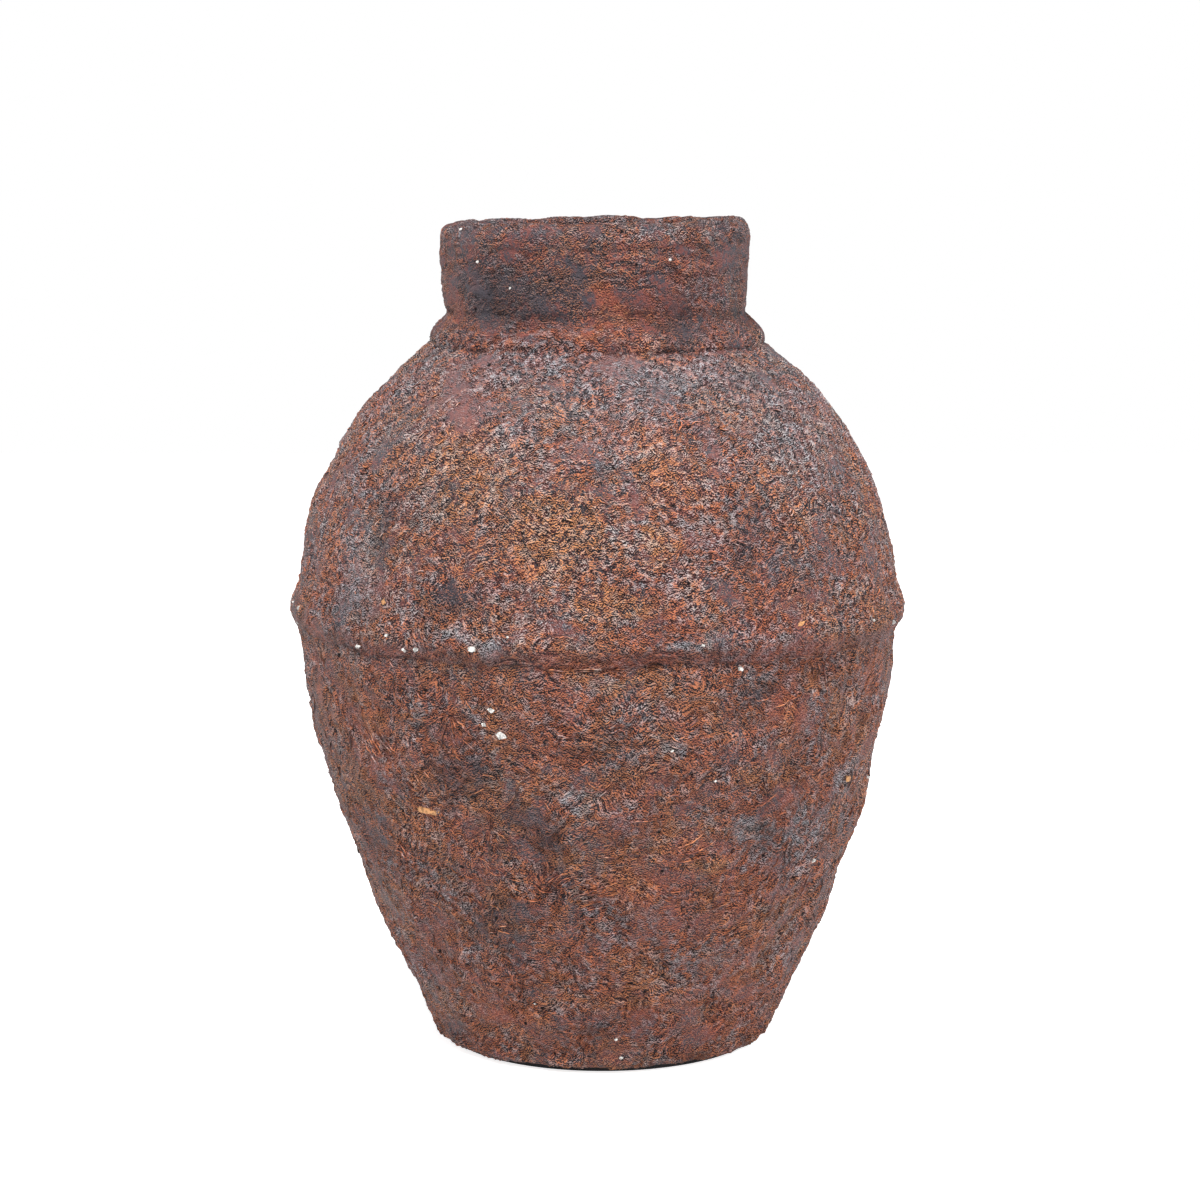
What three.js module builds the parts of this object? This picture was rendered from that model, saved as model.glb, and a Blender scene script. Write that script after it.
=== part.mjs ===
// A hand-built storage jar of coarse fired clay, as the pieces that a potter makes and lutes together.
// Millimetres, +Z up. The origin is the centre of the foot, on the surface that the jar stands on.
import * as THREE from "three";

// Foam pad under the foot
const PAD_THICKNESS = 2.2;
const PAD_INSET = 2.2; // how far the pad's edge stays inside the foot's edge

// Foot, and the floor disc that is set into it
const FOOT_RADIUS = 85.3; // outside, where the foot's rounding ends
const FOOT_RISE = 8; // height of the foot's rounding
const FOOT_ROUNDING = 7; // how far the foot's edge draws in at the pad
const FOOT_RING = 13.3; // width of the ring that the lower wall stands on
const LEDGE_WIDTH = 5; // the floor's flange rests on a ledge of this width
const LEDGE_HEIGHT = 5;
const FLOOR_THICKNESS = 12;
const COVE_HEIGHT = 10; // height over which the floor runs up into the wall inside

// Body walls
const BELLY_RADIUS = 145; // outside of the walls at their widest, under the girdle band
const BELLY_HEIGHT = 213; // where the walls are widest and the two halves meet
const SHOULDER_HEIGHT = 128; // from the belly joint up to the neck's seat
const TAPER_POWER = 1.66; // how fast the lower wall draws in below the belly: 1 is a straight cone
const WALL = 10; // thickness of both body walls, square to their surface

// Lumps that building by hand leaves in the walls: waves that slant up the wall and cross each other
const LUMP_RISE = 1.3; // how far the highest lumps stand out
const LUMP_PITCH = 60; // height of a wave whose rate is 1
const LUMP_FADE = 18; // height over which the lumps die away towards the ends of a wall
const LUMP_WAVES = [
  { lobes: 9, rate: 0.9, phase: 0.4 },
  { lobes: -7, rate: 1.15, phase: 2.1 },
  { lobes: 12, rate: -0.7, phase: 4 },
];

// Neck and rim
const NECK_FOOT_RADIUS = 72;
const NECK_LEDGE = 6.6; // width of the shoulder's land outside the neck, where the ring lies
const NECK_HEIGHT = 48;
const NECK_WAIST = 14; // height of the neck's upright stretch, below its flare
const NECK_FLARE = 2.2; // how much wider the neck is at its top
const NECK_WALL = 11; // thickness at the neck's foot
const RIM_HEIGHT = 11;
const RIM_OVERHANG = 0.4; // how far the rim stands out over the neck
const RIM_CREST_INSET = 8.4; // from the rim's outside to its highest point
const RIM_SOFTNESS = 0.7; // 1 is an elliptical rim, and lower is squarer

// Girdle band pressed over the belly joint
const SEAM_DEPTH = 4; // depth of the bevelled seam that the band's back fills
const SEAM_HALF_HEIGHT = 6;
const BAND_LAP_BELOW = 2; // how far the band reaches past the seam, below and above
const BAND_LAP_ABOVE = 10;
const BAND_PROUD = 3.4; // how far the band's crest stands out from the walls
const BAND_CREST_RISE = 1.5; // the crest's height above the joint
const BAND_EDGE = 0.9; // thickness left at the band's upper and lower edge

// Coil laid in the corner between shoulder and neck
const RING_HEIGHT = 11; // from the neck's seat to the top of the coil
const RING_DROP = 2.6; // from the neck's seat down to the coil's lower edge
const RING_EDGE = 1; // thickness left at the coil's upper and lower edge
const RING_BULGE = 1.9; // how far the coil swells past a straight line between its edges

// Tongue and groove that keys each luted joint
const TONGUE_DEPTH = 2.5;
const TONGUE_SHARE = 0.55; // share of the joint's face that the tongue takes
const SLIP_GAP = 0.3; // room for the slip that lutes two pieces together

// Resolution of the turned surfaces
const SEGMENTS = 64;
const WALL_STEPS = 9; // inside
const LUMP_STEPS = 14; // outside, where the lumps are
const BAND_STEPS = 8;
const NECK_STEPS = 4;
const COIL_STEPS = 6;

const footBottom = PAD_THICKNESS;
const footTop = footBottom + FOOT_RISE;
const footEdgeRadius = FOOT_RADIUS - FOOT_ROUNDING;
const spigotRadius = footEdgeRadius - FOOT_RING;
const flangeRadius = spigotRadius + LEDGE_WIDTH;
const ledgeTop = footBottom + LEDGE_HEIGHT;
const floorTop = footBottom + FLOOR_THICKNESS;

const neckSeat = BELLY_HEIGHT + SHOULDER_HEIGHT;
const neckTop = neckSeat + NECK_HEIGHT;
const boreRadius = NECK_FOOT_RADIUS - NECK_WALL;
const shoulderTopRadius = NECK_FOOT_RADIUS + NECK_LEDGE;
const domeHeight = SHOULDER_HEIGHT / Math.sqrt(1 - (shoulderTopRadius / BELLY_RADIUS) ** 2);

const seamBottom = BELLY_HEIGHT - SEAM_HALF_HEIGHT;
const seamTop = BELLY_HEIGHT + SEAM_HALF_HEIGHT;
const seamFloorRadius = BELLY_RADIUS - SEAM_DEPTH;
const bandBottom = seamBottom - BAND_LAP_BELOW;
const bandTop = seamTop + BAND_LAP_ABOVE;
const bandCrest = BELLY_HEIGHT + BAND_CREST_RISE;

const ringBottom = neckSeat - RING_DROP;
const ringTop = neckSeat + RING_HEIGHT;

const point = (radius, height) => new THREE.Vector2(radius, height);

function heightsBetween(start, end, steps) {
  return Array.from({ length: steps + 1 }, (_, i) => start + ((end - start) * i) / steps);
}

// Outside radius of the plain body at a height: a power curve below the belly and an ellipse above it.
function bodyRadius(height) {
  if (height < BELLY_HEIGHT) {
    const below = (BELLY_HEIGHT - height) / (BELLY_HEIGHT - footTop);
    return BELLY_RADIUS - (BELLY_RADIUS - FOOT_RADIUS) * below ** TAPER_POWER;
  }
  const above = (height - BELLY_HEIGHT) / domeHeight;
  return BELLY_RADIUS * Math.sqrt(1 - above * above);
}

// Inside radius at a height, for a wall of even thickness square to the surface.
function cavityRadius(height) {
  const step = WALL / 20;
  const slope = (bodyRadius(height + step) - bodyRadius(height - step)) / (2 * step);
  return bodyRadius(height) - WALL * Math.hypot(1, slope);
}

function neckRadius(height) {
  const flare = Math.max(0, (height - neckSeat - NECK_WAIST) / (NECK_HEIGHT - NECK_WAIST));
  return NECK_FOOT_RADIUS + NECK_FLARE * Math.sin((flare * Math.PI) / 2);
}

// A line of points moved square to itself, to its right as it is followed, with mitred corners.
function offsetLine(line, distance) {
  const normals = line.slice(1).map((end, i) => {
    const run = end.clone().sub(line[i]).normalize();
    return point(run.y, -run.x);
  });
  return line.map((corner, i) => {
    const before = normals[Math.max(0, i - 1)];
    const after = normals[Math.min(normals.length - 1, i)];
    const mitre = before.clone().add(after).normalize();
    return corner.clone().addScaledVector(mitre, distance / mitre.dot(after));
  });
}

// The V across a joint's flat face, from its inner to its outer edge, pointing down.
// The tongue has no room, and its groove has that much more on every side.
function keyLine(innerRadius, outerRadius, height, room) {
  const middle = (innerRadius + outerRadius) / 2;
  const halfWidth = (TONGUE_SHARE * (outerRadius - innerRadius)) / 2 + room;
  return [
    point(middle - halfWidth, height),
    point(middle, height - TONGUE_DEPTH - room),
    point(middle + halfWidth, height),
  ];
}

const bellyKey = (room) => keyLine(cavityRadius(BELLY_HEIGHT), seamFloorRadius, BELLY_HEIGHT, room);
const neckKey = (room) => keyLine(boreRadius, NECK_FOOT_RADIUS, neckSeat, room);
const rimKey = (room) => keyLine(boreRadius, neckRadius(neckTop), neckTop, room);

// Turns an outline, followed with its solid on the left, about the jar's axis.
function turned(outline) {
  const closed = outline[0].x === 0 ? outline : [...outline, outline[0].clone()];
  return new THREE.LatheGeometry(closed, SEGMENTS);
}

// How far a wall stands out at an angle and a height. The lumps die away towards its ends, low and
// high, so that the band and the ring lie on a smooth wall.
function lump(angle, height, low, high) {
  const fade = THREE.MathUtils.smoothstep(Math.min(height - low, high - height), 0, LUMP_FADE);
  const waves = LUMP_WAVES.map(({ lobes, rate, phase }) =>
    Math.cos(lobes * angle + (2 * Math.PI * rate * height) / LUMP_PITCH + phase),
  );
  return (LUMP_RISE * fade * waves.reduce((sum, wave) => sum + wave, 0)) / waves.length;
}

// Moves the outside of a turned wall in and out by its lumps.
function lumpy(wall, low, high) {
  const corners = wall.attributes.position;
  for (let i = 0; i < corners.count; i += 1) {
    const [x, height, z] = [corners.getX(i), corners.getY(i), corners.getZ(i)];
    const radius = Math.hypot(x, z);
    if (height > low && height < high && radius > bodyRadius(height) - WALL / 2) {
      const stretch = 1 + lump(Math.atan2(x, z), height, low, high) / radius;
      corners.setXYZ(i, x * stretch, height, z * stretch);
    }
  }
  return wall;
}

function basePad() {
  const radius = footEdgeRadius - PAD_INSET;
  return turned([point(0, 0), point(radius, 0), point(radius, PAD_THICKNESS), point(0, PAD_THICKNESS)]);
}

function floorDisc() {
  return turned([
    point(0, footBottom),
    point(spigotRadius - SLIP_GAP, footBottom),
    point(spigotRadius - SLIP_GAP, ledgeTop),
    point(flangeRadius - SLIP_GAP, ledgeTop),
    point(flangeRadius - SLIP_GAP, floorTop),
    point(0, floorTop),
  ]);
}

function lowerWall() {
  const footEdge = new THREE.QuadraticBezierCurve(
    point(footEdgeRadius, footBottom),
    point(FOOT_RADIUS - FOOT_ROUNDING / 3, footBottom + FOOT_RISE / 4),
    point(FOOT_RADIUS, footTop),
  ).getPoints(3);
  const outside = heightsBetween(footTop, seamBottom, LUMP_STEPS).map((h) => point(bodyRadius(h), h));
  const coveTop = floorTop + COVE_HEIGHT;
  const inside = heightsBetween(BELLY_HEIGHT, coveTop, WALL_STEPS).map((h) => point(cavityRadius(h), h));
  const wall = turned([
    ...footEdge,
    ...outside.slice(1),
    point(seamFloorRadius, BELLY_HEIGHT),
    ...bellyKey(SLIP_GAP).reverse(),
    ...inside,
    point(flangeRadius, floorTop),
    point(flangeRadius, ledgeTop),
    point(spigotRadius, ledgeTop),
    point(spigotRadius, footBottom),
  ]);
  return lumpy(wall, footTop, bandBottom);
}

function shoulderWall() {
  const outside = heightsBetween(seamTop, neckSeat, LUMP_STEPS).map((h) => point(bodyRadius(h), h));
  const inside = heightsBetween(neckSeat, BELLY_HEIGHT, WALL_STEPS).map((h) => point(cavityRadius(h), h));
  const wall = turned([
    ...bellyKey(0),
    point(seamFloorRadius, BELLY_HEIGHT),
    ...outside,
    ...neckKey(SLIP_GAP).reverse(),
    point(boreRadius, neckSeat),
    ...inside.slice(1),
  ]);
  return lumpy(wall, bandTop, ringBottom);
}

// A strip with its back pressed into the bevelled seam and its front swelling to a soft crest.
function girdleBand() {
  const onWall = (h) => point(bodyRadius(h), h);
  const below = heightsBetween(bandBottom, seamBottom, 1).map(onWall);
  const above = heightsBetween(seamTop, bandTop, 2).map(onWall);
  const back = offsetLine([...below, point(seamFloorRadius, BELLY_HEIGHT), ...above], SLIP_GAP);
  const front = heightsBetween(bandBottom, bandTop, BAND_STEPS).map((h) => {
    const away = h < bandCrest ? (bandCrest - h) / (bandCrest - bandBottom) : (h - bandCrest) / (bandTop - bandCrest);
    const swell = (1 + Math.cos(Math.PI * away)) / 2;
    const edge = SLIP_GAP + BAND_EDGE;
    return point(bodyRadius(h) + edge + (BAND_PROUD - edge) * swell, h);
  });
  return turned([...front, ...back.reverse()]);
}

// A coil in the corner between shoulder and neck, swelling out between its two edges.
function neckRing() {
  const shoulder = heightsBetween(ringBottom, neckSeat, 1).map((h) => point(bodyRadius(h), h));
  const neck = heightsBetween(neckSeat, ringTop, 1).map((h) => point(neckRadius(h), h));
  const back = offsetLine([...shoulder, ...neck], SLIP_GAP);
  const edge = SLIP_GAP + RING_EDGE;
  const low = point(bodyRadius(ringBottom) + edge, ringBottom);
  const high = point(neckRadius(ringTop) + edge, ringTop);
  const run = high.clone().sub(low);
  const outward = point(run.y, -run.x).normalize();
  const front = Array.from({ length: COIL_STEPS + 1 }, (_, i) => {
    const along = i / COIL_STEPS;
    const swell = RING_BULGE * Math.sin(Math.PI * along);
    return low.clone().addScaledVector(run, along).addScaledVector(outward, swell);
  });
  return turned([...front, ...back.reverse()]);
}

function neckWall() {
  const outside = heightsBetween(neckSeat, neckTop, NECK_STEPS).map((h) => point(neckRadius(h), h));
  return turned([
    point(boreRadius, neckSeat),
    ...neckKey(0),
    ...outside,
    ...rimKey(SLIP_GAP).reverse(),
    point(boreRadius, neckTop),
  ]);
}

// A rolled coil: a flat underside, and a rounded top that is wider outside its crest than inside.
function rimCoil() {
  const outsideRadius = neckRadius(neckTop) + RIM_OVERHANG;
  const crestRadius = outsideRadius - RIM_CREST_INSET;
  const top = Array.from({ length: 2 * COIL_STEPS + 1 }, (_, i) => {
    const turn = (Math.PI * i) / (2 * COIL_STEPS);
    const reach = i < COIL_STEPS ? RIM_CREST_INSET : crestRadius - boreRadius;
    const across = Math.sign(COIL_STEPS - i) * Math.abs(Math.cos(turn)) ** RIM_SOFTNESS;
    return point(crestRadius + reach * across, neckTop + RIM_HEIGHT * Math.abs(Math.sin(turn)) ** RIM_SOFTNESS);
  });
  top[top.length - 1].set(boreRadius, neckTop);
  return turned([...top, ...rimKey(0)]);
}

const coat = { color: 0x5a3a33, roughness: 0.6, metalness: 0 }; // rough painted slip
const bareClay = { color: 0x8a5a45, roughness: 0.9, metalness: 0 };
const foam = { color: 0x17181a, roughness: 0.95, metalness: 0 };

const pieces = [
  ["base_pad", basePad(), foam],
  ["floor_disc", floorDisc(), bareClay],
  ["lower_wall", lowerWall(), coat],
  ["shoulder_wall", shoulderWall(), coat],
  ["girdle_band", girdleBand(), coat],
  ["neck_ring", neckRing(), coat],
  ["neck_wall", neckWall(), coat],
  ["rim_coil", rimCoil(), coat],
];

const jar = new THREE.Group();
for (const [name, geometry, finish] of pieces) {
  const mesh = new THREE.Mesh(geometry, new THREE.MeshStandardMaterial(finish));
  mesh.name = name;
  mesh.rotation.x = Math.PI / 2; // a lathe turns about +Y, and the jar stands along +Z
  jar.add(mesh);
}

export default jar;
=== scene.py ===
import math
import random

import bpy
from bpy.props import FloatProperty, FloatVectorProperty, PointerProperty
from mathutils import Color, Euler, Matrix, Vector
from mathutils.bvhtree import BVHTree


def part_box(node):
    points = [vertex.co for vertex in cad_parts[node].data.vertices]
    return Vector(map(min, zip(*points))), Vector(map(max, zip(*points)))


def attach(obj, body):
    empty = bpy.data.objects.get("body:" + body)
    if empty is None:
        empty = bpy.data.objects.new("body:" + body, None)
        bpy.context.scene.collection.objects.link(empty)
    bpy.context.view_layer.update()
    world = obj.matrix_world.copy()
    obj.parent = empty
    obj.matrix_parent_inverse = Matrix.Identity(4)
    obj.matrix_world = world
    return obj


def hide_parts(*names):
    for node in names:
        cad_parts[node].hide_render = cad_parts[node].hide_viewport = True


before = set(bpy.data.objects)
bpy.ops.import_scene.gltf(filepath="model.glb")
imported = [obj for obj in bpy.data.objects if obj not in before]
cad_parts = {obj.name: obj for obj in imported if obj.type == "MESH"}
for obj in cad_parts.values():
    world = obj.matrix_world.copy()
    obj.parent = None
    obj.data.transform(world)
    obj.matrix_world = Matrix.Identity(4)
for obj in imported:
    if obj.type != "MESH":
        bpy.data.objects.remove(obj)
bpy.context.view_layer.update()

bl_info = {
    "name": "Hand-built clay vase",
    "version": (1, 0, 0),
    "blender": (4, 5, 0),
    "location": "3D View > Sidebar > Vase",
    "description": "Builds a coated clay vase piece by piece around its frame",
    "category": "Object",
}

MM = 0.001
BODY = "root"
MERGED = 0.01 * MM  # points closer than this become one
WALL_SAMPLES = 400  # how finely a wall is measured before its points are spread along it

# Heights that the frame sets
PAD_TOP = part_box("base_pad")[1].z
PAD_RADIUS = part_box("base_pad")[1].x
FLOOR_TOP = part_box("floor_disc")[1].z
FLOOR_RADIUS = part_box("floor_disc")[1].x
BELLY_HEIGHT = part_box("lower_wall")[1].z
NECK_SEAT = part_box("shoulder_wall")[1].z
RING_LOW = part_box("neck_ring")[0].z
RING_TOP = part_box("neck_ring")[1].z
BAND_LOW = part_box("girdle_band")[0].z
BAND_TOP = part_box("girdle_band")[1].z
NECK_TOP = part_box("neck_wall")[1].z
RIM_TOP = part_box("rim_coil")[1].z
RIM_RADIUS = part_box("rim_coil")[1].x


def length(name, text, default, low=0.0, high=2.0):
    return FloatProperty(
        name=name, description=text, default=default, min=low, max=high, subtype="DISTANCE", unit="LENGTH"
    )


def colour(name, text, default):
    return FloatVectorProperty(
        name=name, description=text, default=default, size=3, min=0.0, max=1.0, subtype="COLOR"
    )


class VaseForm(bpy.types.PropertyGroup):
    """Sizes of the turned form"""

    belly_radius: length("Belly radius", "Outside of the walls at their widest", 145 * MM)
    foot_radius: length("Foot radius", "Outside of the foot, above its rounding", 84.5 * MM)
    foot_rise: length("Foot rise", "Height of the foot's rounding", 8 * MM)
    foot_rounding: length("Foot rounding", "How far the foot's edge draws in", 7 * MM)
    taper_power: FloatProperty(
        name="Taper power", description="How fast the lower wall draws in", default=1.66, min=1.0, max=4.0
    )
    wall: length("Wall", "Thickness of the body walls", 10 * MM)
    shoulder_top_radius: length("Shoulder top", "Outside of the shoulder at the neck's seat", 78.6 * MM)
    neck_radius: length("Neck radius", "Outside of the neck at its waist", 71.4 * MM)
    neck_flare: length("Neck flare", "How much wider the neck is at its top", 2.9 * MM)
    bore_radius: length("Bore radius", "Inside of the neck", 61 * MM)
    band_proud: length("Band proud", "How far the girdle band stands out", 3.4 * MM)
    ring_radius: length("Ring radius", "Outside of the coil at the neck's foot", 80 * MM)
    ring_side: length("Ring side", "How high the coil's upright side is", 5.8 * MM)
    ring_fillet: length("Ring fillet", "How far the coil runs up the neck", 4 * MM)
    lump_rise: length("Lumps", "How far the highest lumps of the walls stand out", 1.3 * MM)
    lump_pitch: length("Lump pitch", "Height of a wave of lumps", 60 * MM)
    lump_fade: length("Lump fade", "Height over which the lumps die away at a wall's ends", 18 * MM)
    wander: length("Wander", "How far the seams and the rim rise and fall", 5 * MM)
    lap: length("Lap", "How deep the edge of a coil dips into the wall under it", 0.5 * MM)
    lip_crest_inset: length("Lip crest", "From the rim's outside to its highest point", 8.4 * MM)
    lip_grain: length("Lip grain", "How far the coat's grain may stand over the lip", 1.2 * MM)
    rim_tilt: length("Rim tilt", "How much lower the rim is on its left than on its right", 2.4 * MM)
    lean: length("Lean", "How far the top leans to the left", 3.75 * MM)


class VaseCoat(bpy.types.PropertyGroup):
    """Colours and relief of the coat and the clay"""

    charcoal: colour("Charcoal", "Dark ground of the coat", (0.058, 0.051, 0.062))
    umber: colour("Umber", "Brown-red ground of the coat", (0.172, 0.058, 0.052))
    rust: colour("Rust", "Red-orange stain", (0.320, 0.072, 0.036))
    ember: colour("Ember", "Red-orange dry brushed on the grain", (0.630, 0.200, 0.094))
    ochre: colour("Ochre", "Golden colour dry brushed on the grain", (0.750, 0.330, 0.140))
    # The next two pale colours are partly painted sheen: highlights on the grain, strongest on the upper
    # shoulder and the lip.
    dust_and_sheen: colour("Dust and sheen", "Pale bloom on the grain", (0.530, 0.515, 0.545))
    cream_and_sheen: colour("Cream and sheen", "Pale bloom on the golden patches", (0.780, 0.550, 0.420))
    # Painted shade: near-black in the pits, in the grain's hollows and lower sides, in the joints between
    # coils, in the clay's pores and under the ridges.
    painted_shade: colour("Painted shade", "Colour in the pits", (0.010, 0.007, 0.008))
    clay: colour("Bare clay", "Fired clay without a coat", (0.420, 0.250, 0.160))
    dab_height: length("Dabs", "Height of the coat's dabs", 1.5 * MM)
    coarse_height: length("Coarse relief", "Height of the coarse strokes and the grit", 1.5 * MM)
    pit_depth: length("Pits", "Depth of the pits", 1.0 * MM)
    bump_depth: length("Bump depth", "Depth of the finest grain", 0.40 * MM)


class VaseStage(bpy.types.PropertyGroup):
    """Camera, floor and light"""

    camera_distance: length("Distance", "From the vase's axis to the camera", 1.55, high=10)
    camera_height: length("Height", "Camera above the floor", 0.434)
    camera_side: length("Side", "Camera to the left of the axis", 1.24 * MM)
    camera_pitch: FloatProperty(
        name="Pitch", description="How far the camera looks down", default=0.1405, subtype="ANGLE"
    )
    lens: FloatProperty(name="Lens", description="Focal length in millimetres", default=96.24)
    backdrop: length("Backdrop", "Half width of the floor", 3.0, high=10)
    world_light: FloatProperty(name="Sky", description="Strength of the even white light", default=0.2)


def form():
    return bpy.context.scene.vase_form


def coat():
    return bpy.context.scene.vase_coat


def stage():
    return bpy.context.scene.vase_stage


# Shape of the turned form

def body_radius(height):
    """Outside of the plain walls: a power curve below the belly and an ellipse above it."""
    sizes = form()
    if height < BELLY_HEIGHT:
        below = (BELLY_HEIGHT - height) / (BELLY_HEIGHT - PAD_TOP - sizes.foot_rise)
        return sizes.belly_radius - (sizes.belly_radius - sizes.foot_radius) * below**sizes.taper_power
    top = sizes.shoulder_top_radius / sizes.belly_radius
    dome = (NECK_SEAT - BELLY_HEIGHT) / math.sqrt(1 - top * top)
    above = (height - BELLY_HEIGHT) / dome
    return sizes.belly_radius * math.sqrt(1 - above * above)


def slope_of(radius_at, height, step=MM):
    """How much wider an outline gets for each step up."""
    return (radius_at(height + step) - radius_at(height - step)) / (2 * step)


def cavity_radius(height):
    """Inside of a wall of even thickness, square to its surface."""
    slope = slope_of(body_radius, height, 0.5 * MM)
    return body_radius(height) - form().wall * math.hypot(1, slope)


def neck_radius(height):
    rise = (height - NECK_SEAT) / (NECK_TOP - NECK_SEAT)
    flare = max(0.0, (rise - 0.3) / 0.7)
    return form().neck_radius + form().neck_flare * math.sin(flare * math.pi / 2)


def surface_radius(height):
    """Outside of the vase at a height, without its coils."""
    return neck_radius(height) if height > NECK_SEAT else body_radius(height)


def even_points(line, step):
    """The same line with points no further apart than step along it."""
    points = [line[0]]
    for end in line[1:]:
        start = points[-1]
        count = max(1, math.ceil(math.dist(start, end) / step))
        for i in range(1, count + 1):
            points.append(tuple(a + (b - a) * i / count for a, b in zip(start, end)))
    return points


def along(radius_at, low, high, step):
    """Points (radius, height) on a wall, evenly spaced along it and not only in height."""
    fine = [low + (high - low) * i / WALL_SAMPLES for i in range(WALL_SAMPLES + 1)]
    line = [(radius_at(h), h) for h in fine]
    travelled = [0.0]
    for a, b in zip(line, line[1:]):
        travelled.append(travelled[-1] + math.dist(a, b))
    count = max(1, round(travelled[-1] / step))
    points, place = [], 0
    for i in range(count + 1):
        target = travelled[-1] * i / count
        while place < WALL_SAMPLES - 1 and travelled[place + 1] < target:
            place += 1
        span = travelled[place + 1] - travelled[place]
        part = (target - travelled[place]) / span
        height = fine[place] + (fine[place + 1] - fine[place]) * part
        points.append((radius_at(height), height))
    return points


# Making meshes

def deselect_all():
    if bpy.context.object and bpy.context.object.mode != "OBJECT":
        bpy.ops.object.mode_set(mode="OBJECT")
    bpy.ops.object.select_all(action="DESELECT")


def select_only(piece):
    deselect_all()
    piece.select_set(True)
    bpy.context.view_layer.objects.active = piece


def edit_all():
    bpy.ops.object.mode_set(mode="EDIT")
    bpy.ops.mesh.select_all(action="SELECT")


def turned_piece(name, outside, inside, columns):
    """Draws a closed outline point by point and turns it about the vase's axis.

    outside is the stretch that carries the coat's relief, and inside goes back to its start."""
    outline = outside + inside
    deselect_all()
    first = Vector((outline[0][0], 0, outline[0][1]))
    bpy.ops.mesh.primitive_plane_add(size=MM, location=first)
    piece = bpy.context.object
    piece.name = piece.data.name = name
    bpy.ops.object.transform_apply(location=True)
    edit_all()
    bpy.ops.mesh.merge(type="CENTER")
    at = first
    closed = outline[0][0] > 0
    for radius, height in outline[1:] + ([outline[0]] if closed else []):
        new = Vector((radius, 0, height))
        bpy.ops.mesh.extrude_region_move(TRANSFORM_OT_translate={"value": new - at})
        at = new
    if closed:
        bpy.ops.mesh.select_all(action="SELECT")
        bpy.ops.mesh.remove_doubles(threshold=MERGED)
    bpy.ops.object.mode_set(mode="OBJECT")
    coated = piece.vertex_groups.new(name="coated")
    coated.add(list(range(1, len(outside) - 1)), 1.0, "REPLACE")
    bpy.ops.object.modifier_add(type="SCREW")
    turning = piece.modifiers[-1]
    turning.steps = turning.render_steps = columns
    turning.use_merge_vertices = True
    turning.merge_threshold = MERGED
    bpy.ops.object.modifier_apply(modifier=turning.name)
    edit_all()
    bpy.ops.mesh.normals_make_consistent(inside=False)
    bpy.ops.object.mode_set(mode="OBJECT")
    bpy.ops.object.shade_smooth()
    return piece


def apply_nodes(piece, name, maker):
    """Runs a geometry node group of the given name on a piece, and builds the group if it is missing."""
    select_only(piece)
    modifier = piece.modifiers.new(name, "NODES")
    modifier.node_group = bpy.data.node_groups.get(name) or maker()
    bpy.ops.object.modifier_apply(modifier=modifier.name)
    return piece


def add_stains(piece):
    return apply_nodes(piece, "stain map", stain_map)


def add_relief(piece):
    return apply_nodes(add_stains(piece), "clay relief", clay_relief)


def dress(piece, material, slot, *nodes):
    """Gives a finished piece its material and its body, and hides the parts of the frame that it replaces.
    """
    piece.data.materials.clear()
    piece.data.materials.append(material)
    if nodes:
        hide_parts(*nodes)
    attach(piece, BODY)


# Node trees

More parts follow.
